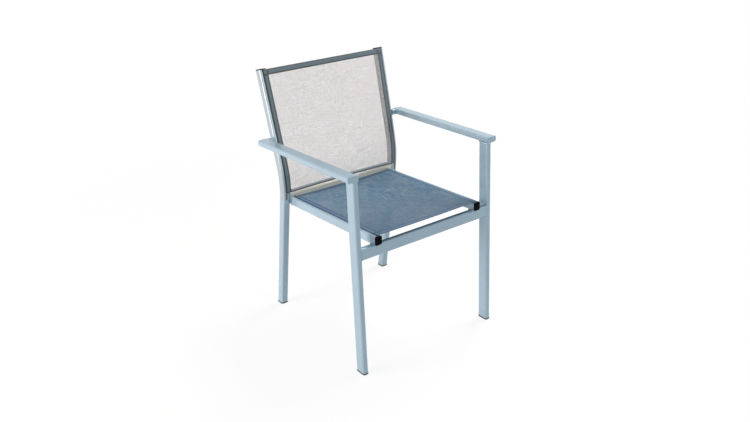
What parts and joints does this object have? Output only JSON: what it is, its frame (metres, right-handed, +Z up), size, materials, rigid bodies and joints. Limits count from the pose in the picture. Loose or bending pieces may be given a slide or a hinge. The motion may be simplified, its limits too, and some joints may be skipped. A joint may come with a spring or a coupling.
{
  "type": "sling patio armchair",
  "caption": "Patio armchair with a welded flat-tube frame, level armrests, grooved side rails and a stretched mesh seat and back.",
  "frame": {"origin": "on the floor, under the middle of the bounding box", "axes": "+Z is up, the seat faces -Y, and +X is to the right of a viewer who looks at the front"},
  "size_m": [0.6184, 0.6206, 0.874],
  "materials": {
    "frame": "satin powder coat, pale blue-grey",
    "black_plastic": "moulded",
    "grey_plastic": "moulded",
    "spline": "extruded rod",
    "seat_mesh": "coated polyester mesh, open weave",
    "back_mesh": "coated polyester mesh, open weave"
  },
  "bodies": {
    "root": {"left_front_leg": "frame", "left_rear_leg": "frame", "left_back_post": "frame", "left_seat_rail": "frame", "left_armrest": "frame", "left_arm_bracket": "frame", "left_arm_front_cap": "frame", "left_arm_rear_cap": "frame", "left_post_cap": "black_plastic", "left_rail_plug": "black_plastic", "left_front_glide": "grey_plastic", "left_rear_glide": "grey_plastic", "left_seat_spline": "spline", "left_back_spline": "spline", "right_front_leg": "frame", "right_rear_leg": "frame", "right_back_post": "frame", "right_seat_rail": "frame", "right_armrest": "frame", "right_arm_bracket": "frame", "right_arm_front_cap": "frame", "right_arm_rear_cap": "frame", "right_post_cap": "black_plastic", "right_rail_plug": "black_plastic", "right_front_glide": "grey_plastic", "right_rear_glide": "grey_plastic", "right_seat_spline": "spline", "right_back_spline": "spline", "front_crossbar": "frame", "rear_crossbar": "frame", "seat_sling": "seat_mesh", "back_sling": "back_mesh"}
  },
  "joints": []
}
